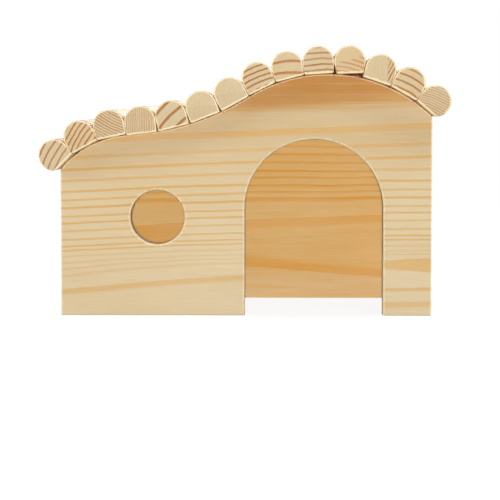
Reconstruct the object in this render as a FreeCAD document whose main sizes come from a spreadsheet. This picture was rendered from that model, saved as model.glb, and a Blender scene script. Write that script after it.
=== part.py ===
import FreeCAD, Part

import math
import os

import Sketcher

# A small pine hide for a hamster, open underneath. Two boards cut to the same
# two-humped outline stand face to face, two low walls are glued between them,
# and round-topped slats lie side by side over the humps as the roof. The front
# board has a doorway and a round window. Millimetres, front towards -Y, +Z up.
SIZES = {
    # Boards and walls, all of one stock; the depth is over both boards
    "panel_width": 150.0,
    "house_depth": 86.0,
    "board_thickness": 9.0,
    # Outline of the boards: a low hump on the left, a high hump on the right,
    # each an arc with its own crest height, radius and inset from its edge,
    # and a valley arc that meets both without a corner
    "low_hump_height": 73.0,
    "low_hump_radius": 38.0,
    "low_hump_inset": 29.5,
    "high_hump_height": 97.4,
    "high_hump_radius": 60.0,
    "high_hump_inset": 42.0,
    "valley_radius": 103.0,
    # Openings in the front board, the door's centre line measured from its right
    # edge and the window's from its left edge
    "door_inset": 47.6,
    "door_width": 56.0,
    "door_spring_height": 43.4,
    "window_inset": 39.2,
    "window_height": 39.9,
    "window_diameter": 22.0,
    # Roof slats, each a round cut flat below its centre; so many of them share
    # the run of the roof, which gives their width
    "slat_count": 14,
    "slat_gap": 0.09,
    "slat_flat_depth": 4.8,
    "roof_overhang": 14.0,
    "end_slat_inset": 4.3,
    "glue_line": 0.15,
    "side_lean_margin": 1.0,
    "foot_round": 1.0,
    "askew_slat": 11,
    "askew_tilt": 9.5,
    "askew_shift": 0.1,
    # Broken edges and the brads of the two end slats
    "edge_break": 0.45,
    "brad_diameter": 1.0,
    "brad_length": 18.0,
    "brad_sink": 0.6,
    "brad_inset": 6.5,
}

doc = FreeCAD.newDocument("hamster_house")
sheet = doc.addObject("Spreadsheet::Sheet", "Sizes")


def enter(row, alias, value):
    """Write one size into the sheet as a plain number."""
    sheet.set(f"A{row}", alias)
    sheet.set(f"B{row}", str(value))
    sheet.setAlias(f"B{row}", alias)
    sheet.recompute()


def size(alias):
    """Return one size from the sheet."""
    return float(sheet.get(alias))


def cell(alias):
    """Return the name by which an expression reads a size."""
    return f"Sizes.{alias}"


for row, (alias, value) in enumerate(SIZES.items(), start=1):
    enter(row, alias, value)


class RoofArc:
    """One arc of the boards' top outline, run from left to right.

    A slope is the angle of the outline above the horizontal. The bulge is 1 on
    a hump, whose centre lies below the outline, and -1 in the valley.
    """

    def __init__(self, centre, radius, start_slope, end_slope, bulge):
        self.centre = centre
        self.radius = radius
        self.start_slope = start_slope
        self.end_slope = end_slope
        self.bulge = bulge

    def length(self, offset):
        """Length of the arc's parallel that lies an offset above it."""
        turn = abs(self.end_slope - self.start_slope)
        return turn * (self.radius + self.bulge * offset)

    def slope_at(self, distance, offset):
        """Slope after a distance along the parallel at that offset."""
        share = distance / self.length(offset)
        return self.start_slope + share * (self.end_slope - self.start_slope)

    def point(self, slope, offset):
        """Point at a slope, an offset above the arc."""
        reach = self.bulge * self.radius + offset
        x = self.centre[0] - reach * math.sin(slope)
        z = self.centre[1] + reach * math.cos(slope)
        return x, z


def roof_line():
    """Return the low hump, the valley and the high hump of the outline."""
    low_radius = size("low_hump_radius")
    high_radius = size("high_hump_radius")
    valley_radius = size("valley_radius")
    low_x = size("low_hump_inset")
    low_z = size("low_hump_height") - low_radius
    high_x = size("panel_width") - size("high_hump_inset")
    high_z = size("high_hump_height") - high_radius

    # The valley arc touches both humps, so its centre is one radius sum away
    # from each of their centres, on the upper side of the line between them.
    across = math.hypot(high_x - low_x, high_z - low_z)
    to_low = low_radius + valley_radius
    to_high = high_radius + valley_radius
    along = (to_low**2 - to_high**2 + across**2) / (2 * across)
    above = math.sqrt(to_low**2 - along**2)
    run = (high_x - low_x) / across
    rise = (high_z - low_z) / across
    valley_x = low_x + along * run - above * rise
    valley_z = low_z + along * rise + above * run

    edge_slope = math.asin(size("low_hump_inset") / low_radius)
    low_end = math.asin((low_x - valley_x) / to_low)
    high_start = math.asin((high_x - valley_x) / to_high)
    far_slope = -math.asin(size("high_hump_inset") / high_radius)
    return (
        RoofArc((low_x, low_z), low_radius, edge_slope, low_end, 1),
        RoofArc((valley_x, valley_z), valley_radius, low_end, high_start, -1),
        RoofArc((high_x, high_z), high_radius, high_start, far_slope, 1),
    )


def vector(x, y):
    return FreeCAD.Vector(x, y, 0)


def new_body(name):
    body = doc.addObject("PartDesign::Body", name)
    body.Label = name
    return body


def front_sketch(body, name):
    """Start a sketch on the body's front plane, its x to +X and y to +Z."""
    sketch = body.newObject("Sketcher::SketchObject", name)
    for feature in body.Origin.OriginFeatures:
        if feature.Role == "XZ_Plane":
            sketch.AttachmentSupport = (feature, [""])
    sketch.MapMode = "FlatFace"
    return sketch


def line(sketch, start, end):
    return sketch.addGeometry(Part.LineSegment(vector(*start), vector(*end)))


def arc(sketch, centre, radius, start, end):
    """Add an arc that turns anticlockwise from its start to its end."""
    circle = Part.Circle(vector(*centre), FreeCAD.Vector(0, 0, 1), radius)
    first = math.atan2(start[1] - centre[1], start[0] - centre[0])
    last = math.atan2(end[1] - centre[1], end[0] - centre[0])
    return sketch.addGeometry(Part.ArcOfCircle(circle, first, last))


def rule(sketch, *terms):
    """Add a geometric constraint."""
    return sketch.addConstraint(Sketcher.Constraint(*terms))


def dimension(sketch, name, formula, *terms):
    """Add a dimension that follows a formula of the sheet's values."""
    index = rule(sketch, *terms)
    sketch.renameConstraint(index, name)
    sketch.setExpression(f"Constraints.{name}", formula)


def pad(body, sketch, formula):
    """Raise a front sketch towards +Y."""
    feature = body.newObject("PartDesign::Pad", "Pad")
    feature.Profile = sketch
    feature.Reversed = True
    feature.setExpression("Length", formula)
    sketch.Visibility = False
    doc.recompute()
    return feature


def pocket(body, sketch, name):
    """Cut a front sketch right through towards +Y and check that it cut."""
    before = body.Shape.Volume
    feature = body.newObject("PartDesign::Pocket", name)
    feature.Profile = sketch
    feature.Type = "ThroughAll"
    sketch.Visibility = False
    doc.recompute()
    if feature.Shape.Volume >= before:
        raise RuntimeError(f"{name} cut nothing from {body.Label}")
    return feature


def break_edges(body, face_places):
    """Chamfer every edge of the flat faces that lie at these y places."""
    base = body.Tip
    names = []
    for number, face in enumerate(base.Shape.Faces, start=1):
        box = face.BoundBox
        if box.YLength < 0.001 and any(abs(box.YMin - y) < 0.001 for y in face_places):
            names.append(f"Face{number}")
    chamfer = body.newObject("PartDesign::Chamfer", "BrokenEdges")
    chamfer.Base = (base, names)
    chamfer.setExpression("Size", cell("edge_break"))
    doc.recompute()
    return chamfer


def drill_brad_hole(body, foot, slope, y):
    """Drill a brad's hole, square to the roof, down from a point on it."""
    hole = body.newObject("PartDesign::SubtractiveCylinder", "BradHole")
    hole.setExpression("Radius", f"{cell('brad_diameter')} / 2")
    hole.Height = 2 * size("brad_length")
    hole.Placement = across_roof(foot, slope, y, -size("brad_length"))
    doc.recompute()
    return hole


def across_roof(foot, slope, y, height):
    """Placement at a height above a roof point, with its z square to the roof."""
    x = foot[0] - height * math.sin(slope)
    z = foot[1] + height * math.cos(slope)
    turn = FreeCAD.Rotation(FreeCAD.Vector(0, 1, 0), -math.degrees(slope))
    return FreeCAD.Placement(FreeCAD.Vector(x, y, z), turn)


def outline_sketch(body):
    """Sketch the two-humped outline, from the board's lower left corner."""
    low, valley, high = roof_line()
    width = size("panel_width")
    left_top = low.point(low.start_slope, 0)
    low_to_valley = low.point(low.end_slope, 0)
    valley_to_high = high.point(high.start_slope, 0)
    right_top = high.point(high.end_slope, 0)

    sketch = front_sketch(body, "Outline")
    base = line(sketch, (0, 0), (width, 0))
    right = line(sketch, (width, 0), right_top)
    high_arc = arc(sketch, high.centre, high.radius, right_top, valley_to_high)
    valley_arc = arc(sketch, valley.centre, valley.radius, low_to_valley, valley_to_high)
    low_arc = arc(sketch, low.centre, low.radius, low_to_valley, left_top)
    left = line(sketch, left_top, (0, 0))

    rule(sketch, "Coincident", base, 1, -1, 1)
    rule(sketch, "Coincident", base, 2, right, 1)
    rule(sketch, "Coincident", right, 2, high_arc, 1)
    rule(sketch, "Tangent", high_arc, 2, valley_arc, 2)
    rule(sketch, "Tangent", valley_arc, 1, low_arc, 1)
    rule(sketch, "Coincident", low_arc, 2, left, 1)
    rule(sketch, "Coincident", left, 2, base, 1)
    rule(sketch, "Horizontal", base)
    rule(sketch, "Vertical", right)
    rule(sketch, "Vertical", left)
    dimension(sketch, "width", cell("panel_width"), "DistanceX", base, 1, base, 2, width)
    dimension(sketch, "valley_radius", cell("valley_radius"), "Radius", valley_arc, valley.radius)
    for name, hump, hump_arc in (("low", low, low_arc), ("high", high, high_arc)):
        radius = f"{name}_hump_radius"
        height = f"{cell(name + '_hump_height')} - {cell(radius)}"
        dimension(sketch, radius, cell(radius), "Radius", hump_arc, hump.radius)
        dimension(sketch, f"{name}_centre_height", height, "DistanceY", -1, 1, hump_arc, 3,
                  hump.centre[1])
    dimension(sketch, "low_inset", cell("low_hump_inset"), "DistanceX", -1, 1, low_arc, 3,
              low.centre[0])
    dimension(sketch, "high_inset", cell("high_hump_inset"), "DistanceX", high_arc, 3, base, 2,
              size("high_hump_inset"))
    return sketch


def board(name):
    """Cut one board to the outline, its outer left corner at the body's origin."""
    body = new_body(name)
    pad(body, outline_sketch(body), cell("board_thickness"))
    return body


def door_sketch(body):
    """Sketch the doorway: two jambs from the base and a half round over them."""
    radius = size("door_width") / 2
    centre = size("panel_width") - size("door_inset")
    spring = size("door_spring_height")
    left = centre - radius
    right = centre + radius

    sketch = front_sketch(body, "Doorway")
    sill = line(sketch, (left, 0), (right, 0))
    right_jamb = line(sketch, (right, 0), (right, spring))
    arch = arc(sketch, (centre, spring), radius, (right, spring), (left, spring))
    left_jamb = line(sketch, (left, spring), (left, 0))

    rule(sketch, "Coincident", sill, 2, right_jamb, 1)
    rule(sketch, "Tangent", right_jamb, 2, arch, 1)
    rule(sketch, "Tangent", arch, 2, left_jamb, 1)
    rule(sketch, "Coincident", left_jamb, 2, sill, 1)
    rule(sketch, "Horizontal", sill)
    rule(sketch, "Vertical", right_jamb)
    rule(sketch, "PointOnObject", sill, 1, -1)
    dimension(sketch, "radius", f"{cell('door_width')} / 2", "Radius", arch, radius)
    from_left = f"{cell('panel_width')} - {cell('door_inset')}"
    dimension(sketch, "centre", from_left, "DistanceX", -1, 1, arch, 3, centre)
    dimension(sketch, "spring", cell("door_spring_height"), "DistanceY", -1, 1, arch, 3, spring)
    return sketch


def window_sketch(body):
    """Sketch the round window beside the doorway."""
    radius = size("window_diameter") / 2
    x = size("window_inset")
    z = size("window_height")
    sketch = front_sketch(body, "Window")
    circle = Part.Circle(vector(x, z), FreeCAD.Vector(0, 0, 1), radius)
    ring = sketch.addGeometry(circle)
    dimension(sketch, "diameter", cell("window_diameter"), "Diameter", ring, 2 * radius)
    dimension(sketch, "across", cell("window_inset"), "DistanceX", -1, 1, ring, 3, x)
    dimension(sketch, "up", cell("window_height"), "DistanceY", -1, 1, ring, 3, z)
    return sketch


def wall_length_formula():
    return f"{cell('house_depth')} - 2 * {cell('board_thickness')}"


def side_wall(name, hump):
    """Make one side wall, its top bevelled along the chord of its hump.

    The body's origin is the lower front corner on the outer side. The wall runs
    inwards, which is +X on the left side and -X on the right side.
    """
    inwards = 1 if hump == "low" else -1
    thickness = size("board_thickness")
    radius = size(f"{hump}_hump_radius")
    centre_height = size(f"{hump}_hump_height") - radius
    inset = size(f"{hump}_hump_inset")
    outer_height = centre_height + math.sqrt(radius**2 - inset**2)
    inner_height = centre_height + math.sqrt(radius**2 - (inset - thickness) ** 2)
    inner = inwards * thickness

    body = new_body(name)
    sketch = front_sketch(body, "Section")
    base = line(sketch, (0, 0), (inner, 0))
    inner_face = line(sketch, (inner, 0), (inner, inner_height))
    bevel = line(sketch, (inner, inner_height), (0, outer_height))
    outer_face = line(sketch, (0, outer_height), (0, 0))
    rule(sketch, "Coincident", base, 1, -1, 1)
    rule(sketch, "Coincident", base, 2, inner_face, 1)
    rule(sketch, "Coincident", inner_face, 2, bevel, 1)
    rule(sketch, "Coincident", bevel, 2, outer_face, 1)
    rule(sketch, "Coincident", outer_face, 2, base, 1)
    rule(sketch, "Horizontal", base)
    rule(sketch, "Vertical", inner_face)
    rule(sketch, "Vertical", outer_face)
    centre = f"{cell(hump + '_hump_height')} - {cell(hump + '_hump_radius')}"
    span = f"{cell(hump + '_hump_radius')}^2"
    outer_formula = f"{centre} + sqrt({span} - {cell(hump + '_hump_inset')}^2)"
    inner_inset = f"({cell(hump + '_hump_inset')} - {cell('board_thickness')})"
    inner_formula = f"{centre} + sqrt({span} - {inner_inset}^2)"
    dimension(sketch, "thickness", cell("board_thickness"), "Distance", base, thickness)
    dimension(sketch, "outer_height", outer_formula, "Distance", outer_face, outer_height)
    dimension(sketch, "inner_height", inner_formula, "Distance", inner_face, inner_height)
    pad(body, sketch, wall_length_formula())
    return body


def slat_centre_height():
    """Height of a slat's round centre over the outline."""
    return size("slat_flat_depth") + size("glue_line")


def slat_step():
    """Distance between neighbouring slats, along the line of their centres."""
    line_length = sum(piece.length(slat_centre_height()) for piece in roof_line())
    return (line_length - 2 * size("end_slat_inset")) / (size("slat_count") - 1)


def side_lean():
    """How far a slat's sides lean in, to clear its neighbours on the tighter hump."""
    tightest = min(size("low_hump_radius"), size("high_hump_radius"))
    half_turn = math.asin(size("slat_width") / 2 / (tightest + size("slat_flat_depth")))
    return half_turn + math.radians(size("side_lean_margin"))


def flat_half_width():
    """Half the width that the slat's flat would have with sharp corners."""
    radius = size("slat_width") / 2
    lean = side_lean()
    return (radius - size("slat_flat_depth") * math.sin(lean)) / math.cos(lean)


def foot_centre():
    """Place of a rounded foot's own centre: to the side of the slat's, and below it."""
    corner = (math.radians(90) + side_lean()) / 2
    across = flat_half_width() - size("foot_round") / math.tan(corner)
    return across, size("slat_flat_depth") - size("foot_round")


def askew_height(radius):
    """Centre height of the askew slat over a hump, on its flat or on one foot."""
    tilt = math.radians(size("askew_tilt"))
    across, below = foot_centre()
    if radius * math.tan(tilt) < across:
        return (radius + slat_centre_height()) / math.cos(tilt) - radius
    foot = size("foot_round")
    foot_x = below * math.sin(tilt) - across * math.cos(tilt)
    foot_drop = across * math.sin(tilt) + below * math.cos(tilt)
    reach = radius + foot + size("glue_line")
    return math.sqrt(reach**2 - foot_x**2) - radius + foot_drop


def roof_slat(name, open_side=0):
    """Make one slat, its origin at its front end in the middle of its round.

    Seen from the end it is round on top and flat underneath, and its sides lean
    in below the round. The side of an end slat that has no neighbour, -1 for the
    left and 1 for the right, keeps its round all the way down to the flat.
    """
    radius = size("slat_width") / 2
    depth = size("slat_flat_depth")
    lean = side_lean()
    half_flat = flat_half_width()
    round_ends = {}
    flat_ends = {}
    for side in (-1, 1):
        if side == open_side:
            round_ends[side] = flat_ends[side] = (side * math.sqrt(radius**2 - depth**2), -depth)
        else:
            round_ends[side] = (side * radius * math.cos(lean), -radius * math.sin(lean))
            flat_ends[side] = (side * half_flat, -depth)

    body = new_body(name)
    sketch = front_sketch(body, "Section")
    top = arc(sketch, (0, 0), radius, round_ends[1], round_ends[-1])
    flat = line(sketch, flat_ends[-1], flat_ends[1])
    rule(sketch, "Coincident", top, 3, -1, 1)
    rule(sketch, "Horizontal", flat)
    for side, top_end, flat_end in ((-1, 2, 1), (1, 1, 2)):
        if side == open_side:
            rule(sketch, "Coincident", top, top_end, flat, flat_end)
            continue
        leaning = line(sketch, round_ends[side], flat_ends[side])
        rule(sketch, "Tangent", top, top_end, leaning, 1)
        rule(sketch, "Coincident", leaning, 2, flat, flat_end)
        rule(sketch, "DistanceX", -1, 1, flat, flat_end, side * half_flat)
    dimension(sketch, "radius", f"{cell('slat_width')} / 2", "Radius", top, radius)
    dimension(sketch, "depth", cell("slat_flat_depth"), "DistanceY", flat, 1, -1, 1, depth)
    raised = pad(body, sketch, f"{cell('roof_overhang')} + {cell('house_depth')}")

    feet = []
    for number, edge in enumerate(raised.Shape.Edges, start=1):
        box = edge.BoundBox
        if box.YLength > depth and abs(box.ZMin + depth) < 0.001:
            feet.append(f"Edge{number}")
    rounding = body.newObject("PartDesign::Fillet", "RoundedFeet")
    rounding.Base = (raised, feet)
    rounding.setExpression("Radius", cell("foot_round"))
    doc.recompute()
    length = raised.Length.Value
    break_edges(body, (0, length))
    return body


def slat_seats():
    """Return each slat's foot on the outline, its slope, tilt and centre height.

    The slats' centres keep equal steps along a line parallel to the outline.
    In the valley a flat rests on its two edges, which lifts it a little, and
    the askew slat rests on one foot, nearer to the slat before it.
    """
    offset = slat_centre_height()
    rest = foot_centre()[0]
    seats = []
    for number in range(1, int(size("slat_count")) + 1):
        distance = size("end_slat_inset") + slat_step() * (number - 1)
        if number == size("askew_slat"):
            distance -= size("askew_shift")
        for piece in roof_line():
            if distance <= piece.length(offset):
                break
            distance -= piece.length(offset)
        slope = piece.slope_at(distance, offset)
        tilt = 0.0
        height = offset
        if number == size("askew_slat"):
            tilt = math.radians(size("askew_tilt"))
            height = askew_height(piece.radius)
        if piece.bulge < 0:
            height += piece.radius - math.sqrt(piece.radius**2 - rest**2)
        seats.append((piece.point(slope, 0), slope, tilt, height))
    return seats


# The slats' width is worked out, and kept in the sheet with the other sizes.
enter(len(SIZES) + 1, "slat_width", slat_step() - size("slat_gap"))

# Places along Y are measured from the front board's face.
seats = slat_seats()
end_seats = (seats[0], seats[-1])
back_board_y = size("house_depth") - size("board_thickness")
front_brad = size("brad_inset")
back_brad = size("house_depth") - size("brad_inset")

front_panel = board("front_panel")
pocket(front_panel, door_sketch(front_panel), "DoorwayCut")
pocket(front_panel, window_sketch(front_panel), "WindowCut")
break_edges(front_panel, (0,))
back_panel = board("back_panel")
break_edges(back_panel, (size("board_thickness"),))
for foot, slope, tilt, height in end_seats:
    drill_brad_hole(front_panel, foot, slope, front_brad)
    drill_brad_hole(back_panel, foot, slope, back_brad - back_board_y)
left_side_wall = side_wall("left_side_wall", "low")
right_side_wall = side_wall("right_side_wall", "high")

open_sides = {1: -1, len(seats): 1}
slats = []
for number in range(1, len(seats) + 1):
    slats.append(roof_slat(f"roof_slat_{number:02d}", open_sides.get(number, 0)))
for slat in (slats[0], slats[-1]):
    for y in (front_brad, back_brad):
        drill_brad_hole(slat, (0, 0), 0, y + size("roof_overhang"))

# The brads stand in the two end slats, one over each board's edge, driven
# square to the roof and set just under the slat's top.
brads = []
for foot, slope, tilt, height in end_seats:
    for y in (front_brad, back_brad):
        brad = doc.addObject("Part::Cylinder", "Brad")
        brad.setExpression("Radius", f"{cell('brad_diameter')} / 2")
        brad.setExpression("Height", cell("brad_length"))
        top = height + size("slat_width") / 2 - size("brad_sink")
        brad.Placement = across_roof(foot, slope, y, top - size("brad_length"))
        brads.append(brad)
roof_brads = doc.addObject("Part::Compound", "roof_brads")
roof_brads.Label = "roof_brads"
roof_brads.Links = brads

# The whole stands with the middle of its outer box over the origin.
first_centre = across_roof(seats[0][0], seats[0][1], 0, seats[0][3]).Base.x
last_centre = across_roof(seats[-1][0], seats[-1][1], 0, seats[-1][3]).Base.x
middle_x = (first_centre + last_centre) / 2
middle_y = (size("house_depth") - size("roof_overhang")) / 2


def stand(piece, x, y):
    """Place a piece from the front board's lower left corner."""
    piece.Placement = FreeCAD.Placement(
        FreeCAD.Vector(x - middle_x, y - middle_y, 0), FreeCAD.Rotation()
    )


stand(front_panel, 0, 0)
stand(back_panel, 0, back_board_y)
stand(left_side_wall, 0, size("board_thickness"))
stand(right_side_wall, size("panel_width"), size("board_thickness"))
stand(roof_brads, 0, 0)
for slat, (foot, slope, tilt, height) in zip(slats, seats):
    centre = across_roof(foot, slope, -size("roof_overhang"), height)
    turn = FreeCAD.Rotation(FreeCAD.Vector(0, 1, 0), -math.degrees(slope + tilt))
    shift = FreeCAD.Vector(-middle_x, -middle_y, 0)
    slat.Placement = FreeCAD.Placement(centre.Base + shift, turn)

doc.recompute()
pieces = [front_panel, back_panel, left_side_wall, right_side_wall, *slats, roof_brads]
for item in doc.Objects:
    if "Invalid" in item.State or "Error" in item.State:
        raise RuntimeError(f"{item.Name} failed to build: {item.State}")
for piece in pieces:
    if piece.Shape.isNull() or not piece.Shape.isValid():
        raise RuntimeError(f"{piece.Label} is not a valid solid")

os.makedirs("parts", exist_ok=True)
for piece in pieces:
    piece.Shape.exportStep(os.path.join("parts", piece.Label + ".step"))
print(len(slats), "roof slats")
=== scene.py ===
import math
import random

import bpy
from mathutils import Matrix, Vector


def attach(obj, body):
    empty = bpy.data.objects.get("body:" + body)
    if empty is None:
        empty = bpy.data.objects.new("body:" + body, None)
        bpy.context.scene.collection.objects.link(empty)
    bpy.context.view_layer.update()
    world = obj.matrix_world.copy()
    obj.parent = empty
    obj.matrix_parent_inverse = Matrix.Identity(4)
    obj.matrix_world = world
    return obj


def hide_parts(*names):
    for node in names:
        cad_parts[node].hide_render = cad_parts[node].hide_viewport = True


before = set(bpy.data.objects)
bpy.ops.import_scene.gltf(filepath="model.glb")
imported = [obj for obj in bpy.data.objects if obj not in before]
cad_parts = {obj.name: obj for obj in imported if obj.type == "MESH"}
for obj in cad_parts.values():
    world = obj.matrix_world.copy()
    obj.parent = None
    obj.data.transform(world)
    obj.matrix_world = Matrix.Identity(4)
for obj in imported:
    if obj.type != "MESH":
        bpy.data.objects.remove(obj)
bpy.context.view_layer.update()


# The front board.
# One pine board, 9 mm thick, sawn to the two-humped outline and bored for the
# doorway and the window. Its edges are sanded and its grain runs across.


class Wire:
    """A socket of a node tree, so that sums on sockets are written as sums."""

    def __init__(self, tree, socket=None):
        self.tree = tree
        self.socket = socket

    def node(self, kind, settings=None, values=None, output=0):
        """Add a node, set it up, fill or link its sockets, return an output if it has any."""
        made = self.tree.nodes.new(kind)
        for name, value in (settings or {}).items():
            if name == "points":
                fill_curve(made, value)
            else:
                setattr(made, name, value)
        for key, value in (values or {}).items():
            socket = made.inputs[key]
            if isinstance(value, Wire):
                self.tree.links.new(value.socket, socket)
            else:
                socket.default_value = value
        return Wire(self.tree, made.outputs[output] if made.outputs else None)

    def math(self, operation, *others):
        values = dict(enumerate((self, *others)))
        return self.node("ShaderNodeMath", {"operation": operation}, values)

    def vector_math(self, operation, *others):
        values = dict(enumerate((self, *others)))
        return self.node("ShaderNodeVectorMath", {"operation": operation}, values)

    def __add__(self, other):
        return self.math("ADD", other)

    def __sub__(self, other):
        return self.math("SUBTRACT", other)

    def __rsub__(self, other):
        return self.math("MULTIPLY_ADD", -1.0, other)

    def __mul__(self, other):
        return self.math("MULTIPLY", other)

    def __truediv__(self, other):
        return self.math("DIVIDE", other)

    def __rtruediv__(self, other):
        return self.node("ShaderNodeMath", {"operation": "DIVIDE"}, {0: other, 1: self})

    def __neg__(self):
        return self.math("MULTIPLY", -1.0)

    __radd__ = __add__
    __rmul__ = __mul__

    def split(self):
        """The three numbers of a vector."""
        parts = self.node("ShaderNodeSeparateXYZ", None, {0: self}).socket.node
        return [Wire(self.tree, socket) for socket in parts.outputs]

    def step(self, low, high):
        """0 below low, 1 above high and a smooth rise between them."""
        settings = {"interpolation_type": "SMOOTHSTEP"}
        return self.node("ShaderNodeMapRange", settings, {0: self, 1: low, 2: high})

    def blend(self, below, above):
        """One colour where this mask is 0, the other where it is 1."""
        values = {0: self, 6: below, 7: above}
        return self.node("ShaderNodeMix", {"data_type": "RGBA"}, values, 2)

    def noise(self, stretch, detail=2.0, roughness=0.5):
        """Noise round 0, as many features per mm along each axis as stretch says."""
        values = {
            "Vector": self.vector_math("MULTIPLY", stretch),
            "Scale": 1.0,
            "Detail": detail,
            "Roughness": roughness,
        }
        return self.node("ShaderNodeTexNoise", None, values) - 0.5


def fill_curve(node, points):
    """Lay a Float Curve node's curve through these points."""
    curve = node.mapping.curves[0]
    while len(curve.points) < len(points):
        curve.points.new(0.5, 0.5)
    for point, place in zip(curve.points, points):
        point.location = place
    node.mapping.update()


def paint(red, green, blue):
    """A colour given as it shows on a screen (0 to 255), as Blender's linear colour."""
    shares = (red / 255, green / 255, blue / 255)
    dark = [share / 12.92 for share in shares]
    light = [((share + 0.055) / 1.055) ** 2.4 for share in shares]
    return (*(d if share <= 0.04045 else l for share, d, l in zip(shares, dark, light)), 1.0)


def new_material(name):
    material = bpy.data.materials.new(name)
    material.use_nodes = True
    material.node_tree.nodes.clear()
    return material, Wire(material.node_tree)


def finish_material(wire, colour, roughness, height, depth, **fixed):
    """Join colour, roughness and relief to the shader and the shader to the output."""
    relief = {"Strength": 1.0, "Distance": depth, "Height": height}
    values = {name.replace("_", " "): value for name, value in fixed.items()}
    values["Base Color"] = colour
    values["Roughness"] = roughness
    values["Normal"] = wire.node("ShaderNodeBump", None, relief)
    shader = wire.node("ShaderNodeBsdfPrincipled", None, values)
    wire.node("ShaderNodeOutputMaterial", None, {0: shader})


MM = 1000.0
GRAIN_DEPTH = 0.00012
WOOD_SHINE = 0.3


def finish_wood(wire, colour, roughness, height):
    """Finish a material as bare sanded wood."""
    finish_material(wire, colour, roughness, height, GRAIN_DEPTH, Specular_IOR_Level=WOOD_SHINE)


def board_place(wire, turn=0.0, shift=(0.0, 0.0, 0.0)):
    """Place in a board in mm: along its grain, through it and up."""
    coordinates = wire.node("ShaderNodeTexCoord", None, None, 3)
    values = {
        "Vector": coordinates,
        "Location": shift,
        "Rotation": (0.0, 0.0, turn),
        "Scale": (MM, MM, MM),
    }
    return wire.node("ShaderNodeMapping", {"vector_type": "POINT"}, values)


def wander(place, long, high, short, low):
    """Slow and quick waves of the rings: features per mm along the grain, height in mm."""
    slow = place.noise((long, 0.05, 0.04), 2.0) * high
    return slow + place.noise((short, 0.3, 0.2), 2.0) * low


# The late wood of a ring fades in over FADE_MM and more in a wide ring, up to
# FADE_LIMIT of the ring, and ends within END_MM.
FADE_MM, FADE_SPREAD, FADE_LIMIT, END_MM = 0.8, 0.03, 0.72, 0.14

# Features per mm along, through and up, of the wood's tone and its fine marks.
TONE = (0.012, 0.06, 0.05)
FIBRE = (0.05, 1.5, 1.5)
STREAK = (0.16, 4.5, 4.5)
GRIT = (1.4, 1.7, 1.7)


def pine(wire, place, ring, width, end, woods, seed, bold=1.0):
    """Colour, roughness and relief of planed pine.

    ring counts the growth rings at each place and width is their width in mm.
    end is 1 on cut ends. woods has the early and the late wood's colours, first
    on the side, then at an end. bold is how strong the late wood is.
    """
    year = ring.math("FLOOR")
    share = ring.math("FRACT")
    luck = wire.node("ShaderNodeTexWhiteNoise", {"noise_dimensions": "1D"}, {"W": year + seed})
    fade = (FADE_MM / width + width * FADE_SPREAD).math("MINIMUM", FADE_LIMIT)
    late = share.step(1 - fade, 1 - fade * 0.55) * (1 - share.step(1 - END_MM / width, 1.0))
    late = late * (0.6 + luck * 0.4) * bold
    tone = place.noise(TONE, 3.0)
    fibre = place.noise(FIBRE, 3.0, 0.65)
    streak = place.noise(STREAK, 1.0)
    grit = place.noise(GRIT, 3.0, 0.7)
    # The fibres fray the late wood. All the marks show in the lightness and the relief.
    late = (late + late * fibre * 0.9).math("MINIMUM", 1.0)
    colour = end.blend(late.blend(woods[0], woods[1]), late.blend(woods[2], woods[3]))
    light = 1 + tone * 0.12 + fibre * 0.14 + streak * 0.12 + end * grit * 0.45
    values = {
        "Hue": 0.5 + tone * 0.012,
        "Saturation": 1 - tone * 0.3 - fibre * 0.25,
        "Value": light,
        "Color": colour,
    }
    colour = wire.node("ShaderNodeHueSaturation", None, values)
    roughness = 0.62 - late * 0.08 + fibre * 0.12 + end * 0.15
    height = fibre * 0.5 + streak * 0.3 + late * 0.25 + end * grit * 0.9
    return colour, roughness, height


def cut_end(wire, axis, low=0.12, high=0.6):
    """1 where the surface crosses the grain, which runs along this axis."""
    normal = wire.node("ShaderNodeTexCoord", None, None, 1)
    return normal.split()[axis].math("ABSOLUTE").step(low, high)


def broken_edge(wire):
    """1 on the narrow sloping face of a board's broken edges."""
    normal = wire.node("ShaderNodeTexCoord", None, None, 1)
    off_slope = (normal.split()[1].math("ABSOLUTE") - math.sqrt(0.5)).math("ABSOLUTE")
    return 1 - off_slope.step(0.05, 0.12)


EARLY_WOOD = paint(219, 197, 157)
LATE_WOOD = paint(212, 167, 92)
CUT_EARLY = paint(225, 203, 163)
CUT_LATE = paint(180, 118, 66)
# Pale rubbed wood, also used as a painted highlight on lit edges and as painted light on the
# slats' shaded rims.
WORN_AND_HIGHLIGHT_WOOD = paint(253, 234, 192)
WOODS = (EARLY_WOOD, LATE_WOOD, CUT_EARLY, CUT_LATE)

# Heights of the ends of the growth rings at the middle of the front, in mm.
FRONT_RINGS = (
    -3.0, 6.5, 16.6, 22.1, 23.6, 25.2, 27.3, 29.7, 31.4, 34.1, 37.6, 40.7, 43.4,
    46.9, 50.0, 53.5, 57.9, 62.5, 67.5, 74.8, 98.5,
)
# A ring rises by RING_SLOPE for each mm along. It sinks by RING_BEND times the
# square of that, and by RING_LEAN for each mm behind the front face.
RING_SLOPE, RING_BEND, RING_LEAN = 0.031, 0.0001, 0.5
FRONT_FACE = -36.0
LEFT_SINK, RIGHT_SINK = 0.04, 12.5
RIGHT_LIFT, LIFT_FROM = 0.0007, 48.0
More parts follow.
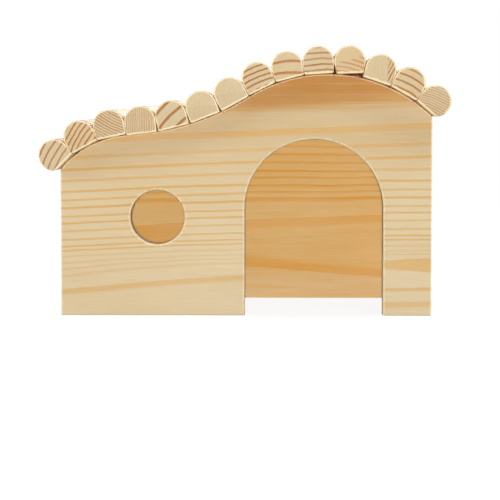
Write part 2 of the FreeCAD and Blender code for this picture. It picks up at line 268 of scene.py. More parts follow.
# The upper early wood is darker as painted shade of the overhanging roof.
UPPER_EARLY_PAINTED_SHADE = paint(210, 184, 140)
RUDDY_DARK, RUDDY_LIGHT = paint(198, 145, 73), paint(228, 184, 118)
RUDDY_LATE = paint(190, 134, 64)
FAINT_FROM, FAINT_SHIFT, FAINT_TO = 18.5, 4.1, 26.5
FRONT_BOLD, FAINT_LOSS = 0.95, 0.6
CREST_FROM, CREST_TO, CREST_WAVES = 79.5, 86.0, 6.0
FRAY_FROM, FRAY_TO, FRAY_WAVES = 0.45, 0.75, 1.2
FRONT_WORN_AND_HIGHLIGHT = 0.75
DOOR_MIDDLE, DOOR_SPRING, DOOR_RADIUS = 27.74, 43.4, 28.0
WINDOW_MIDDLE, WINDOW_HEIGHT, WINDOW_RADIUS = -35.46, 39.9, 11.0


def ring_numbers(level, heights):
    """Ring count along level, which ends a ring at each of these heights, and ring width."""
    low, span = heights[0], heights[-1] - heights[0]
    last = len(heights) - 1
    gaps = [high - low for low, high in zip(heights, heights[1:])]
    widest = max(gaps)
    counts = [((height - low) / span, year / last) for year, height in enumerate(heights)]
    middles = [(a + b) / 2 for a, b in zip(heights, heights[1:])]
    widths = [((middle - low) / span, gap / widest) for middle, gap in zip(middles, gaps)]
    share = (level - low) / span
    count = share.node("ShaderNodeFloatCurve", {"points": counts}, {"Value": share})
    width = share.node("ShaderNodeFloatCurve", {"points": widths}, {"Value": share})
    return count * last, width * widest


def distance_to(across, up, middle, height):
    """Distance in mm from a point of the front."""
    x, z = across - middle, up - height
    return (x * x + z * z).math("SQRT")


material, wire = new_material("front board pine")
place = board_place(wire)
along, through, up = place.split()
# Low down the rings sink towards both ends; high up they rise to the right.
sink_left = (1 - up.step(14.0, 24.0)) * along.math("MINIMUM", 0.0) * -LEFT_SINK
sink_right = (1 - up.step(10.0, 25.0)) * along.step(0.0, 60.0) * RIGHT_SINK
lift_right = along.math("MAXIMUM", 0.0) * (up - LIFT_FROM).math("MAXIMUM", 0.0) * RIGHT_LIFT
level = up + wander(place, 0.02, 1.2, 0.1, 0.45) + (through - FRONT_FACE) * RING_LEAN
level = level - along * RING_SLOPE + along * along * RING_BEND
level = level + sink_left + sink_right - lift_right
ring, width = ring_numbers(level, FRONT_RINGS)
# The lowest band shows on the right leg alone; the high hump is one ruddy ring.
on_right = along.step(20.0, 50.0)
faint_from = FAINT_FROM + on_right * FAINT_SHIFT
faint = level.step(faint_from, faint_from + 0.6) * (1 - level.step(FAINT_TO, FAINT_TO + 2.0))
bold = up.step(5.5, 9.5).math("MAXIMUM", on_right) * (FRONT_BOLD - faint * FAINT_LOSS)
crest = level + place.noise((0.01, 0.5, 0.3), 3.0) * CREST_WAVES
crest = crest.step(CREST_FROM, CREST_TO)
# Higher up the early wood is painted darker: painted shade under the overhanging roof.
early = up.step(45.0, 76.0).blend(EARLY_WOOD, UPPER_EARLY_PAINTED_SHADE)
streaks = place.noise((0.012, 0.3, 0.7), 4.0, 0.75).step(-0.02, 0.14)
early = crest.blend(early, streaks.blend(RUDDY_DARK, RUDDY_LIGHT))
woods = (early, crest.blend(LATE_WOOD, RUDDY_LATE), CUT_EARLY, CUT_LATE)
colour, roughness, height = pine(wire, place, ring, width, cut_end(wire, 0), woods, 3.0, bold)
# The saw left frayed, paler wood round the doorway and the window; this band and the broken
# edges are also painted paler, a painted highlight of the lit edges.
door_edge = distance_to(along, up.math("MAXIMUM", DOOR_SPRING), DOOR_MIDDLE, DOOR_SPRING)
window_edge = distance_to(along, up, WINDOW_MIDDLE, WINDOW_HEIGHT)
from_cut = (door_edge - DOOR_RADIUS).math("MINIMUM", window_edge - WINDOW_RADIUS)
from_cut = from_cut + place.noise((0.8, 0.8, 1.6), 2.0) * FRAY_WAVES
worn_and_highlight = (1 - from_cut.step(FRAY_FROM, FRAY_TO)).math("MAXIMUM", broken_edge(wire))
worn_and_highlight = worn_and_highlight * (1 - cut_end(wire, 0, 0.75, 0.9)) * FRONT_WORN_AND_HIGHLIGHT
colour = worn_and_highlight.blend(colour, WORN_AND_HIGHLIGHT_WOOD)
finish_wood(wire, colour, roughness, height)
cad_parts["front_panel"].material_slots[0].material = material


# The back board.
# Cut from the same stock to the same outline, with no openings. Its inner face lies nearer to
# the heart, so it is redder and its grain opens into flames; it is also painted lighter and
# warmer, painted light for the shade and the warm bounced light inside the house.

BACK_RINGS = (
    14.0, 21.0, 27.9, 32.8, 34.6, 36.6, 39.2, 41.4, 44.4, 47.4, 50.4, 53.6, 57.6, 62.0,
    67.0, 73.0, 80.0, 85.0, 88.0, 90.5, 93.0, 96.0, 99.5, 103.0, 107.0, 112.0, 118.0, 130.0,
)
# The log's heart: its height and depth at HEART_AT along the board, and how much
# it sinks and leans per mm from there.
HEART_HEIGHT, HEART_DEPTH, HEART_AT = 23.7, 16.0, 30.4
HEART_SINK, HEART_LEAN = 0.02, 0.025
# The outer face's straight rings: how many mm of ring per mm up and along.
OUTER_RISE, OUTER_SLOPE, OUTER_START = 0.9, 0.06, 36.0
# The inner face's colours are painted lighter and warmer than the wood: painted light for
# inside the house.
GOLDEN_LOW_PAINTED_LIGHT, GOLDEN_PAINTED_LIGHT = paint(247, 205, 142), paint(246, 199, 124)
GOLDEN_LATE_PAINTED_LIGHT = paint(242, 174, 72)
INNER_TO, OUTER_FROM = 41.5, 48.0
BACK_BOLD = 1.15
BACK_WORN_AND_HIGHLIGHT = 0.85

material, wire = new_material("back board pine")
place = board_place(wire)
along, through, up = place.split()
waves = wander(place, 0.018, 1.8, 0.07, 0.5)
beside = along - HEART_AT
heart_x = up - HEART_HEIGHT + beside * HEART_SINK + waves
heart_y = through - HEART_DEPTH - beside * HEART_LEAN
# Inside, the rings turn round the heart; outside, they run in straight lines.
inner = 1 - through.step(INNER_TO, OUTER_FROM)
turning = (heart_x * heart_x + heart_y * heart_y).math("SQRT")
straight = up * OUTER_RISE - along * OUTER_SLOPE + waves + OUTER_START
ring, width = ring_numbers(turning * inner + straight * (1 - inner), BACK_RINGS)
golden = up.step(8.0, 15.0).blend(GOLDEN_LOW_PAINTED_LIGHT, GOLDEN_PAINTED_LIGHT)
early = inner.blend(EARLY_WOOD, golden)
late = inner.blend(LATE_WOOD, GOLDEN_LATE_PAINTED_LIGHT)
woods = (early, late, CUT_EARLY, CUT_LATE)
bold = up.step(3.0, 9.0) * BACK_BOLD
colour, roughness, height = pine(wire, place, ring, width, cut_end(wire, 0), woods, 11.0, bold)
# The broken edges are rubbed pale and painted paler still, a painted highlight of the lit
# edges.
colour = (broken_edge(wire) * BACK_WORN_AND_HIGHLIGHT).blend(colour, WORN_AND_HIGHLIGHT_WOOD)
finish_wood(wire, colour, roughness, height)
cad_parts["back_panel"].material_slots[0].material = material


# The two side walls.
# Short pine boards glued between the front and the back, a low one on the left
# and a higher one on the right. Their grain runs from front to back.

LEFT_RINGS = (
    -6.0, 3.0, 9.0, 17.0, 27.0, 39.0, 50.0, 58.0, 64.0, 69.0, 74.0, 78.5, 83.0, 88.5, 95.0,
    103.0, 120.0,
)
RIGHT_RINGS = (
    -5.0, 0.0, 5.0, 9.0, 12.5, 15.5, 18.5, 22.0, 25.5, 29.5, 33.0, 37.0, 41.0, 45.5, 50.0,
    55.0, 60.5, 66.0, 72.0, 78.0, 85.0, 93.0, 120.0,
)
# Each wall: how far its pattern is shifted along and up, its seed and its rings.
WALLS = {
    "left_side_wall": (0.0, 20.0, 23.0, LEFT_RINGS),
    "right_side_wall": (17.0, 0.0, 30.0, RIGHT_RINGS),
}
WALL_SLOPE, WALL_LEAN = 0.02, 0.3

for name, (shift, raised, seed, heights) in WALLS.items():
    material, wire = new_material(name.replace("_", " ") + " pine")
    place = board_place(wire, -math.pi / 2, (shift, 0.0, 0.0))
    along, through, up = place.split()
    level = up + wander(place, 0.02, 6.0, 0.09, 1.0)
    level = level + along * WALL_SLOPE + through * WALL_LEAN + raised
    ring, width = ring_numbers(level, heights)
    colour, roughness, height = pine(wire, place, ring, width, cut_end(wire, 1), WOODS, seed)
    finish_wood(wire, colour, roughness, height)
    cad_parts[name].material_slots[0].material = material


# The roof slats.
# Fourteen pine sticks moulded round on top and flat underneath, laid side by
# side over both boards' edges and glued down. They reach out over the front.

BOARD_WIDTH = 0.150
BOARD_LEFT = -0.074663
HUMPS = (
    {"inset": 0.0295, "height": 0.0730, "radius": 0.038},
    {"inset": 0.0420, "height": 0.0974, "radius": 0.060},
)
VALLEY_RADIUS = 0.103
VALLEY_SLATS = (4, 5, 6, 7)
SLAT_COUNT = 14
FLAT_DEPTH = 0.0048
GLUE_LINE = 0.00015
END_INSET = 0.0043
SLAT_GAP = 0.00009
SLAT_TRIM = 0.00002
FOOT_ROUND = 0.001
EDGE_BREAK = 0.00028
BRAD_HOLE = 0.0012
SPARE_LEAN = 0.012
SLAT_FRONT, SLAT_BACK = -0.05, 0.05
FRONT_SPREAD, BACK_SPREAD = 0.0003, 0.0002
ASKEW_SLAT, ASKEW_TILT, ASKEW_SHIFT, ASKEW_LIFT = 11, math.radians(9.5), 0.0001, 0.00058
ASKEW_LEAN = 0.13
SAME_POINT = 1e-6


def roof_arcs():
    """The outline's three arcs: centre, radius, first and last slope, up or down."""
    low, high = HUMPS
    low_x, low_z = BOARD_LEFT + low["inset"], low["height"] - low["radius"]
    high_x = BOARD_LEFT + BOARD_WIDTH - high["inset"]
    high_z = high["height"] - high["radius"]
    apart = math.hypot(high_x - low_x, high_z - low_z)
    to_low = low["radius"] + VALLEY_RADIUS
    to_high = high["radius"] + VALLEY_RADIUS
    along = (to_low**2 - to_high**2 + apart**2) / (2 * apart)
    above = math.sqrt(to_low**2 - along**2)
    run, rise = (high_x - low_x) / apart, (high_z - low_z) / apart
    valley_x = low_x + along * run - above * rise
    valley_z = low_z + along * rise + above * run
    left = math.asin(low["inset"] / low["radius"])
    first = math.asin((low_x - valley_x) / to_low)
    second = math.asin((high_x - valley_x) / to_high)
    right = -math.asin(high["inset"] / high["radius"])
    return (
        ((low_x, low_z), low["radius"], left, first, 1),
        ((valley_x, valley_z), VALLEY_RADIUS, first, second, -1),
        ((high_x, high_z), high["radius"], second, right, 1),
    )


def roof_points(offset, steps=160):
    """Points along the outline, from left to right, this far above it."""
    points = []
    for (x, z), radius, first, last, bulge in roof_arcs():
        reach = bulge * radius + offset
        for step in range(steps + 1):
            slope = first + (last - first) * step / steps
            points.append((x - reach * math.sin(slope), 0.0, z + reach * math.cos(slope)))
    return points


def line_mesh(name, points):
    """A run of edges through these points; points that fall together are one."""
    kept = [points[0]]
    for point in points[1:]:
        if (Vector(point) - Vector(kept[-1])).length > SAME_POINT:
            kept.append(point)
    mesh = bpy.data.meshes.new(name)
    mesh.from_pydata(kept, [(number, number + 1) for number in range(len(kept) - 1)], [])
    return mesh


def start_tree(name, sizes):
    """A Geometry Nodes tree with one named input for each size."""
    tree = bpy.data.node_groups.new(name, "GeometryNodeTree")
    tree.is_modifier = True
    kinds = {float: "Float", tuple: "Vector"}
    for way in ("INPUT", "OUTPUT"):
        tree.interface.new_socket("Geometry", in_out=way, socket_type="NodeSocketGeometry")
    for title, value in sizes.items():
        kind = "NodeSocket" + kinds[type(value)]
        tree.interface.new_socket(title, in_out="INPUT", socket_type=kind).default_value = value
    wire = Wire(tree)
    entry = wire.node("NodeGroupInput").socket.node.outputs
    return wire, {title: Wire(tree, entry[title]) for title in ("Geometry", *sizes)}


def end_tree(wire, shape, material):
    """Realize what the tree made, give it its material and send it out."""
    real = wire.node("GeometryNodeRealizeInstances", None, {0: shape})
    painted = wire.node("GeometryNodeSetMaterial", None, {0: real, 2: material})
    wire.node("NodeGroupOutput", None, {0: painted})
    return wire.tree


def grow(name, tree, base, sizes):
    """Run a tree on a base mesh and keep the plain mesh that comes out as a piece."""
    source = bpy.data.objects.new(name + "_base", base)
    bpy.context.scene.collection.objects.link(source)
    modifier = source.modifiers.new("grow", "NODES")
    modifier.node_group = tree
    for item in tree.interface.items_tree:
        if item.item_type == "SOCKET" and item.in_out == "INPUT" and item.name in sizes:
            modifier[item.identifier] = sizes[item.name]
    view = bpy.context.evaluated_depsgraph_get()
    mesh = bpy.data.meshes.new_from_object(
        source.evaluated_get(view), preserve_all_data_layers=True, depsgraph=view
    )
    source.modifiers.clear()
    bpy.data.objects.remove(source)
    mesh.name = name
    piece = bpy.data.objects.new(name, mesh)
    bpy.context.scene.collection.objects.link(piece)
    return piece


def smooth_but_for_corners(mesh, corner=0.62):
    """Shade a mesh smooth, but for edges that bend by more than corner radians."""
    smooth = mesh.node("GeometryNodeSetShadeSmooth", {"domain": "FACE"}, {0: mesh, 2: True})
    angle = mesh.node("GeometryNodeInputMeshEdgeAngle")
    values = {0: smooth, 1: angle.math("GREATER_THAN", corner), 2: False}
    return mesh.node("GeometryNodeSetShadeSmooth", {"domain": "EDGE"}, values)


def keep_value(mesh, name, value):
    """Store a vector on every point, for the material to read."""
    settings = {"data_type": "FLOAT_VECTOR", "domain": "POINT"}
    return mesh.node("GeometryNodeStoreNamedAttribute", settings, {0: mesh, 2: name, 3: value})


def kept_value(wire, name):
    """The three numbers of a stored vector."""
    return wire.node("ShaderNodeAttribute", {"attribute_name": name}, None, 1).split()


def join_vector(wire, x, y, z):
    return wire.node("ShaderNodeCombineXYZ", None, {0: x, 1: y, 2: z})


SLAT_WOODS = (
    paint(230, 208, 165), paint(222, 172, 104), paint(214, 193, 154), paint(176, 116, 64),
)
ORANGE_WOOD = paint(226, 172, 104)
ROUND_MM = 6.15
RIM_WORN_AND_PAINTED_LIGHT, RIM_TAPER, RIM_WAVES = 0.85, 1.8, 0.9
SEED_STEP = 1.7

material, wire = new_material("slat pine")
across, along, up = kept_value(wire, "stick")
heart_x, heart_z, ring_width = kept_value(wire, "heart")
strength, orange, seed = kept_value(wire, "look")
cut_x, cut_z, cut_at = kept_value(wire, "cut")
place = join_vector(wire, along + seed * 31, across + seed * 17, up)
bend = place.noise((0.02, 0.08, 0.08), 2.0) * 1.6 + place.noise((0.1, 0.45, 0.45), 2.0) * 0.3
far_x, far_z = across - heart_x, up - heart_z
reach = (far_x * far_x + far_z * far_z).math("SQRT") + bend
lined = (across * cut_x + up * cut_z - cut_at + bend * 0.6).step(-0.5, 0.5)
end = cut_end(wire, 1, 0.5, 0.95)
ring = reach / ring_width
colour, roughness, height = pine(
    wire, place, ring, ring_width, end, SLAT_WOODS, seed, strength * lined
)
colour = (orange * (1 - end * 0.6)).blend(colour, ORANGE_WOOD)
# The edge round each end is rubbed pale and painted paler still, painted light over the shaded
# lower edge, most of all along the flat.
own_x, _, own_z = kept_value(wire, "own")
above = own_z.math("MAXIMUM", 0.0)
from_side = ROUND_MM - (own_x * own_x + above * above).math("SQRT")
from_edge = (own_z + FLAT_DEPTH * MM).math("MINIMUM", from_side * RIM_TAPER)
from_edge = from_edge + place.noise((0.5, 0.5, 0.5), 2.0) * RIM_WAVES
rim_worn_and_painted_light = cut_end(wire, 1, 0.15, 0.4) * (1 - from_edge.step(0.6, 1.0))
colour = (rim_worn_and_painted_light * RIM_WORN_AND_PAINTED_LIGHT).blend(colour, WORN_AND_HIGHLIGHT_WOOD)
finish_wood(wire, colour, roughness, height)
slat_material = material

SLAT_SIZES = {
    "Distance": 0.01,
    "Lift": 0.0,
    "Tilt": 0.0,
    "Width": 0.0124,
    "Flat Depth": FLAT_DEPTH,
    "Left Lean": 0.16,
    "Right Lean": 0.16,
    "Foot Round": FOOT_ROUND,
    "Front": SLAT_FRONT,
    "Back": SLAT_BACK,
    "End Round": EDGE_BREAK,
    "Front Brad": -0.0295,
    "Back Brad": 0.0435,
    "Brad Hole": 0.0,
    "Heart": (0.0, 0.0, 1.0),
    "Look": (1.0, 0.0, 0.0),
    "Cut": (0.0, 0.0, -9.0),
}
ROUND_SIDES = 128
HOLE_SIDES, HOLE_DEPTH = 20, 0.004
ROUND_STEPS = 3
SPAN_STEPS = 4
SIDE_STEPS = 2 * (ROUND_STEPS + SPAN_STEPS)
# How far two sides blend into each other for a corner of radius 1.
CORNER_BLEND = 1.24

wire, sizes = start_tree("roof slat", SLAT_SIZES)
radius = sizes["Width"] / 2
blank = wire.node(
    "GeometryNodeMeshCylinder",
    {"fill_type": "NGON"},
    {"Vertices": ROUND_SIDES, "Side Segments": SIDE_STEPS, "Radius": 1.0, "Depth": 1.0},
)
x, y, z = wire.node("GeometryNodeInputPosition").split()
# The blank's rings, counted from the front, then from the nearer end.
ring = (0.5 - z) * SIDE_STEPS
near = ring.math("MINIMUM", SIDE_STEPS - ring)
quarter = (near / ROUND_STEPS).math("MINIMUM", 1.0) * (math.pi / 2)
inset = sizes["End Round"] * (1 - quarter.math("SINE"))
start = sizes["End Round"] * (1 - quarter.math("COSINE"))
span = (near - ROUND_STEPS).math("MAXIMUM", 0.0) / SPAN_STEPS
length = sizes["Back"] - sizes["Front"]
from_end = start + span * (length / 2 - sizes["End Round"])
behind = ring.math("GREATER_THAN", SIDE_STEPS / 2)
place_y = sizes["Front"] + from_end + behind * (length - from_end * 2)
# The section: a round, sides that lean in from where they start, rounded feet.
on_right = x.math("GREATER_THAN", 0.0)
lean = sizes["Left Lean"] + on_right * (sizes["Right Lean"] - sizes["Left Lean"])
below = (-y).math("ARCTAN2", x.math("ABSOLUTE")) - lean
side = radius / below.math("MAXIMUM", 0.0).math("COSINE")
flat = sizes["Flat Depth"] / (-y).math("MAXIMUM", 0.001)
section = side.math("SMOOTH_MIN", flat, sizes["Foot Round"] * CORNER_BLEND) - inset
moved = wire.node(
    "GeometryNodeSetPosition",
    None,
    {0: blank, "Position": join_vector(wire, x * section, place_y, y * section)},
)
hole = wire.node(
    "GeometryNodeMeshCylinder",
    {"fill_type": "NGON"},
    {"Vertices": HOLE_SIDES, "Radius": sizes["Brad Hole"] / 2, "Depth": HOLE_DEPTH},
)
holes = wire.node("GeometryNodeJoinGeometry")
for title in ("Front Brad", "Back Brad"):
    spot = join_vector(wire, 0.0, sizes[title], radius)
    sunk = wire.node("GeometryNodeTransform", None, {0: hole, "Translation": spot})
    wire.tree.links.new(sunk.socket, holes.socket.node.inputs[0])
drilled = wire.node(
    "GeometryNodeMeshBoolean",
    {"operation": "DIFFERENCE", "solver": "EXACT"},
    {0: moved, 1: holes},
)
has_hole = sizes["Brad Hole"].math("GREATER_THAN", 0.0)
slat = wire.node(
    "GeometryNodeSwitch", {"input_type": "GEOMETRY"}, {0: has_hole, 1: moved, 2: drilled}
)
slat = smooth_but_for_corners(slat)
# The seat on the line of centres, and the turn that lays the flat along it.
line = wire.node("GeometryNodeMeshToCurve", None, {0: sizes["Geometry"]})
seat = wire.node(
    "GeometryNodeSampleCurve",
    {"mode": "LENGTH"},
    {"Curves": line, "Length": sizes["Distance"]},
    1,
)
run, _, rise = Wire(wire.tree, seat.socket.node.outputs[2]).split()
lift = join_vector(wire, -rise * sizes["Lift"], 0.0, run * sizes["Lift"])
turn = -rise.math("ARCTAN2", run) - sizes["Tilt"]
turn = wire.node("FunctionNodeAxisAngleToRotation", None, {0: (0, 1, 0), 1: turn})
own = wire.node("GeometryNodeInputPosition").vector_math("MULTIPLY", (MM, MM, MM))
slat = keep_value(slat, "own", own)
slat = keep_value(slat, "stick", wire.node("FunctionNodeRotateVector", None, {0: own, 1: turn}))
for title in ("Heart", "Look", "Cut"):
    slat = keep_value(slat, title.lower(), sizes[title])
slat = wire.node(
    "GeometryNodeTransform",
    None,
    {0: slat, "Translation": seat.vector_math("ADD", lift), "Rotation": turn},
)
slat_tree = end_tree(wire, slat, slat_material)

# How each slat's end looks from the front: the tilt of its lines in degrees,
# how far off the log's heart is in mm (below if negative), the width and the
# strength of its rings, how orange it is, and where its lines begin: the tilt
# of that border in degrees and its distance from the middle in mm.
SLAT_LOOKS = (
    (60, -41.3, 2.6, 1.15, 0.0, 150, -3.2),
    (58, -45, 1.9, 1.3, 0.15, 0, -9),
    (-27, 40, 1.05, 0.85, 0.0, 0, -9),
    (90, 60, 0.9, 0.65, 0.0, 0, -9),
    (45, -31.5, 4.6, 1.5, 0.0, 0, -9),
    (10, -60, 60.0, 0.1, 0.1, 0, -9),
    (10, -75, 75.0, 0.1, 0.0, 0, -9),
    (22, -50, 2.1, 1.5, 0.0, 0, -9),
    (3, -60.5, 4.5, 1.2, 0.3, 0, -9),
    (4, -60, 2.2, 1.0, 0.0, 0, -9),
    (-15, -40, 1.8, 0.9, 0.55, -75, -0.5),
    (62, 30, 1.3, 1.0, 0.1, 0, 2.8),
    (-30, -30, 2.7, 1.15, 0.15, 0, -9),
    (-22, -50, 1.0, 0.75, 0.0, 0, -9),
)

centre_height = FLAT_DEPTH + GLUE_LINE
run_length = sum(
    abs(last - first) * (radius + bulge * centre_height)
    for _, radius, first, last, bulge in roof_arcs()
)
slat_step = (run_length - 2 * END_INSET) / (SLAT_COUNT - 1)
slat_width = slat_step - SLAT_GAP


def slope_at(distance):
    """Slope of the line of the slats' centres, this far along it."""
    for _, radius, first, last, bulge in roof_arcs():
        reach = radius + bulge * centre_height
        run = abs(last - first) * reach
        if distance <= run:
            return first - bulge * distance / reach
        distance -= run
    return last


# Neighbours lean away from each other by as much as the roof bends between
# them. The outer sides of the two end slats keep their round.
slopes = [slope_at(END_INSET + slat_step * number) for number in range(SLAT_COUNT)]
leans = [max((left - right) / 2, 0.0) + SPARE_LEAN for left, right in zip(slopes, slopes[1:])]
leans = [math.pi / 2, *leans, math.pi / 2]
rest = slat_width / 2 - FOOT_ROUND
valley_lift = VALLEY_RADIUS - math.sqrt(VALLEY_RADIUS**2 - rest**2)
centre_line = line_mesh("centre_line", roof_points(centre_height))
luck = random.Random(14)
for number, look in enumerate(SLAT_LOOKS, start=1):
    tilt, far, ring_width, strength, orange, border, border_at = look
    tilt, border = math.radians(tilt), math.radians(border)
    is_askew = number == ASKEW_SLAT
    is_nailed = number in (1, SLAT_COUNT)
    piece = grow(
        f"slat_{number:02d}",
        slat_tree,
        centre_line,
        {
            "Distance": END_INSET + slat_step * (number - 1) - ASKEW_SHIFT * is_askew,
            "Lift": ASKEW_LIFT * is_askew + valley_lift * (number in VALLEY_SLATS),
            "Tilt": ASKEW_TILT * is_askew,
            "Width": slat_width - SLAT_TRIM,
            "Left Lean": leans[number - 1] + ASKEW_LEAN * is_askew,
            "Right Lean": leans[number] + ASKEW_LEAN * is_askew,
            "Front": SLAT_FRONT + luck.uniform(0.0, FRONT_SPREAD),
            "Back": SLAT_BACK - luck.uniform(0.0, BACK_SPREAD),
            "Brad Hole": BRAD_HOLE * is_nailed,
            "Heart": (far * -math.sin(tilt), far * math.cos(tilt), ring_width),
            "Look": (strength, orange, number * SEED_STEP),
            "Cut": (math.cos(border), math.sin(border), border_at),
        },
    )
    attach(piece, "root")
    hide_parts(f"roof_slat_{number:02d}")


# The glue.
# A bead of wood glue lies on each board's edge. Under the slats' flats it is squeezed thin,
# between their feet it stands up, and it fills the wedge under the slat that sits askew. It has
# set dark; where it is squeezed thin it is painted pale, painted light over the shaded seam
# under the flats.

GLUE_SIZES = {
    "Front": -0.0354,
    "Back": -0.0277,
    "Height": 0.00012,
    "Ridge": 0.001,
    "Ridge Half Width": 0.0013,
    "First Seat": END_INSET,
    "Seat Step": slat_step,
    "Wedge Start": 0.0,
    "Wedge End": 0.001,
    "Wedge Height": 0.0,
}
BEAD_STEPS = 700
BEAD_SIDES = 14
BEAD_REACH = 0.996
RIDGE_POWER = 2.5
CROWN_POWER = 8.0
BEAD_FILM = 0.00001
GLUE_DARK, GLUE_LIGHT = paint(112, 52, 20), paint(168, 96, 44)
# The thin glue's pale colour is painted light for the shaded seam.
GLUE_THIN_PAINTED_LIGHT = paint(214, 178, 124)
LUMP_DEPTH = 0.0002

material, wire = new_material("wood glue")
place = board_place(wire)
lumps = place.noise((0.5, 0.5, 0.5), 3.0)
thick = kept_value(wire, "bead")[0]
# Where it is squeezed thin it is painted pale: painted light over the shaded seam.
colour = thick.step(0.05, 0.5).blend(GLUE_THIN_PAINTED_LIGHT, (lumps + 0.5).blend(GLUE_DARK, GLUE_LIGHT))
finish_material(wire, colour, 0.32 + lumps * 0.3, lumps, LUMP_DEPTH)
glue_material = material

wire, sizes = start_tree("glue bead", GLUE_SIZES)
blank = wire.node(
    "GeometryNodeMeshCylinder",
    {"fill_type": "NGON"},
    {"Vertices": BEAD_SIDES, "Side Segments": BEAD_STEPS, "Radius": 1.0, "Depth": 1.0},
)
x, y, z = wire.node("GeometryNodeInputPosition").split()
line = wire.node("GeometryNodeMeshToCurve", None, {0: sizes["Geometry"]})
line_length = wire.node("GeometryNodeCurveLength", None, {0: line})
distance = line_length * (z * BEAD_REACH + 0.5)
between = ((distance - sizes["First Seat"]) / sizes["Seat Step"]).math("FRACT") - 0.5
from_gap = between.math("ABSOLUTE") * sizes["Seat Step"] / sizes["Ridge Half Width"]
ridge = (1 - from_gap).math("MAXIMUM", 0.0).math("POWER", RIDGE_POWER) * sizes["Ridge"]
slope = (distance - sizes["Wedge Start"]) / (sizes["Wedge End"] - sizes["Wedge Start"])
wedge = slope.math("MAXIMUM", 0.0) * slope.math("LESS_THAN", 1.0) * sizes["Wedge Height"]
stands_up = ridge.math("MAXIMUM", wedge)
crown = (1 - x.math("POWER", CROWN_POWER)) * (sizes["Height"] + stands_up)
above = y.math("GREATER_THAN", 0.001) * crown + BEAD_FILM
blank = keep_value(blank, "bead", join_vector(wire, stands_up * MM, 0.0, 0.0))
seat = wire.node(
    "GeometryNodeSampleCurve", {"mode": "LENGTH"}, {"Curves": line, "Length": distance}, 1
)
run, _, rise = Wire(wire.tree, seat.socket.node.outputs[2]).split()
drop = above - centre_height
place_y = sizes["Front"] + (x * 0.5 + 0.5) * (sizes["Back"] - sizes["Front"])
shift = join_vector(wire, -rise * drop, place_y, run * drop)
bead = wire.node(
    "GeometryNodeSetPosition", None, {0: blank, "Position": seat.vector_math("ADD", shift)}
)
bead = wire.node("GeometryNodeSetShadeSmooth", {"domain": "FACE"}, {0: bead, 2: True})
glue_tree = end_tree(wire, bead, glue_material)

# Each bead: its front and its back, in m. The wedge is under the askew slat.
BEADS = (("front_glue", -0.0364, -0.0277), ("back_glue", 0.0412, 0.0498))
WEDGE_LEFT, WEDGE_RIGHT, WEDGE_HEIGHT = 0.0040, 0.0056, 0.0014

askew_seat = END_INSET + slat_step * (ASKEW_SLAT - 1)
wedge = {
    "Wedge Start": askew_seat - WEDGE_LEFT,
    "Wedge End": askew_seat + WEDGE_RIGHT,
    "Wedge Height": WEDGE_HEIGHT,
}
for name, front, back in BEADS:
    piece = grow(name, glue_tree, centre_line, {"Front": front, "Back": back, **wedge})
    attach(piece, "root")


# The brads.
# Four headless steel pins, 1 mm thick, driven through the two end slats into
# the boards and set a little below the wood.

STEEL_DARK, STEEL_LIGHT = paint(122, 118, 112), paint(176, 172, 166)
SCRATCH_DEPTH = 0.00002

material, wire = new_material("brad steel")
place = board_place(wire)
spots = place.noise((1.5, 1.5, 1.5), 3.0, 0.6)
scratches = place.noise((9.0, 9.0, 0.5), 1.0)
colour = (spots + 0.5).blend(STEEL_DARK, STEEL_LIGHT)
finish_material(wire, colour, 0.38 + scratches * 0.2, scratches, SCRATCH_DEPTH, Metallic=1.0)
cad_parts["roof_brads"].material_slots[0].material = material


# The lamps, the paper floor and the camera.
# A white paper floor under soft lamps and a small one at the lens, seen from straight in front
# and at the height of the roof, as for a shop picture.

WHITE = (1.0, 1.0, 1.0, 1.0)
PAPER = paint(128, 128, 128)
PAPER_GLOW = 0.88
PAPER_HALF_WIDTH = 0.8
SKY_LEVEL = 0.07


def camera_sees(wire):
    """1 on rays that come straight or by a mirror or glass from the camera."""
    rays = wire.node("ShaderNodeLightPath").socket.node.outputs
    seen = Wire(wire.tree, rays["Is Camera Ray"])
    for title in ("Is Glossy Ray", "Is Transmission Ray"):
        seen = seen.math("MAXIMUM", Wire(wire.tree, rays[title]))
    return seen


paper = bpy.data.meshes.new("paper_floor")
corners = [(-1, -1), (1, -1), (1, 1), (-1, 1)]
corners = [(PAPER_HALF_WIDTH * x, PAPER_HALF_WIDTH * y, 0) for x, y in corners]
paper.from_pydata(corners, [], [(0, 1, 2, 3)])
floor = bpy.data.objects.new("paper_floor", paper)
bpy.context.scene.collection.objects.link(floor)
material, wire = new_material("white paper")
glow = {"Color": WHITE, "Strength": camera_sees(wire) * PAPER_GLOW}
glow = wire.node("ShaderNodeEmission", None, glow)
diffuse = wire.node("ShaderNodeBsdfDiffuse", None, {"Color": PAPER})
both = wire.node("ShaderNodeAddShader", None, {0: diffuse, 1: glow})
wire.node("ShaderNodeOutputMaterial", None, {0: both})
paper.materials.append(material)

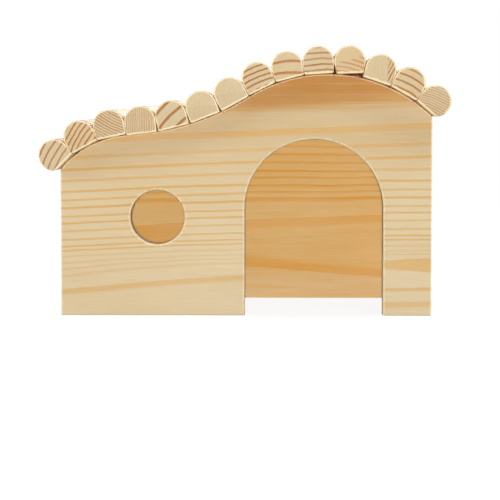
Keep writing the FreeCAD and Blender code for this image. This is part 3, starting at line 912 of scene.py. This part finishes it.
world = bpy.data.worlds.new("studio")
bpy.context.scene.world = world
world.use_nodes = True
world.node_tree.nodes.clear()
wire = Wire(world.node_tree)
lit = wire.node("ShaderNodeBackground", None, {"Color": WHITE, "Strength": SKY_LEVEL})
white = wire.node("ShaderNodeBackground", None, {"Color": WHITE, "Strength": 1.0})
mixed = wire.node("ShaderNodeMixShader", None, {0: camera_sees(wire), 1: lit, 2: white})
wire.node("ShaderNodeOutputWorld", None, {0: mixed})

# Each lamp: where it stands, how wide it is and its power, in m and watts.
LAMPS = {
    "lens_lamp": ((0.0181, -0.8620, 0.0852), 0.012, 4.85),
    "right_key_softbox": ((0.55, -1.0, 1.15), 0.6, 4.0),
    "left_key_softbox": ((-0.75, -0.95, 0.5), 0.5, 1.6),
    "left_softbox": ((-1.3, 0.1, 0.4), 0.6, 8.5),
    "right_softbox": ((1.3, 0.1, 0.4), 0.6, 8.5),
    "back_softbox": ((0.2, 1.4, 0.4), 0.6, 11.0),
    "top_softbox": ((0.0, 0.35, 1.4), 0.6, 3.0),
}
LAMP_TARGET = Vector((0.0, 0.0, 0.05))

for name, (place, width, power) in LAMPS.items():
    lamp = bpy.data.lights.new(name, "AREA")
    lamp.shape = "SQUARE"
    lamp.size = width
    lamp.energy = power
    holder = bpy.data.objects.new(name, lamp)
    holder.location = place
    holder.rotation_euler = (LAMP_TARGET - holder.location).to_track_quat("-Z", "Y").to_euler()
    bpy.context.scene.collection.objects.link(holder)

# The lens's focal length in pixels of a picture that is FRAME_PIXELS wide.
FRAME_PIXELS = 500
LENS_PIXELS = 2045
SENSOR_WIDTH = 36.0
CAMERA_PLACE = (0.0181, -0.8610, 0.0852)
CAMERA_DIP, CAMERA_TURN = math.radians(4.06), math.radians(1.12)

camera = bpy.data.cameras.new("camera")
camera.sensor_width = SENSOR_WIDTH
camera.lens = camera.sensor_width * LENS_PIXELS / FRAME_PIXELS
stand = bpy.data.objects.new("camera", camera)
stand.location = CAMERA_PLACE
stand.rotation_euler = (math.pi / 2 - CAMERA_DIP, 0, CAMERA_TURN)
bpy.context.scene.collection.objects.link(stand)
bpy.context.scene.camera = stand
bpy.context.scene.view_settings.view_transform = "Standard"
